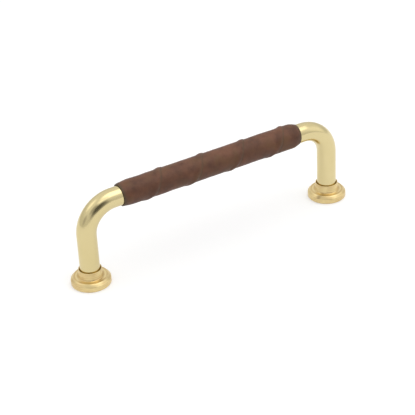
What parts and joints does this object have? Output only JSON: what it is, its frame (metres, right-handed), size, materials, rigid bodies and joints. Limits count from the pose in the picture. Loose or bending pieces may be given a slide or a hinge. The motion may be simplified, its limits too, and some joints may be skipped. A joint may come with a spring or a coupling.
{
  "type": "cabinet pull",
  "caption": "Bow-shaped cabinet pull: a round brass bar bent at both ends, standing on turned brass feet, its grip wound with a leather strip.",
  "frame": {"origin": "on the door's face, midway between the two feet", "axes": "+X along the grip, +Y across the grip, +Z out from the door, from the feet towards the grip"},
  "size_m": [0.146, 0.018, 0.0443],
  "materials": {
    "bar_brass": "polished and lightly brushed, pale",
    "foot_brass": "turned on a lathe, unlacquered",
    "leather": "matte brown vegetable-tanned leather"
  },
  "bodies": {
    "root": {"bent_bar": "bar_brass", "leather_strip": "leather", "left_foot": "foot_brass", "right_foot": "foot_brass"}
  },
  "joints": []
}
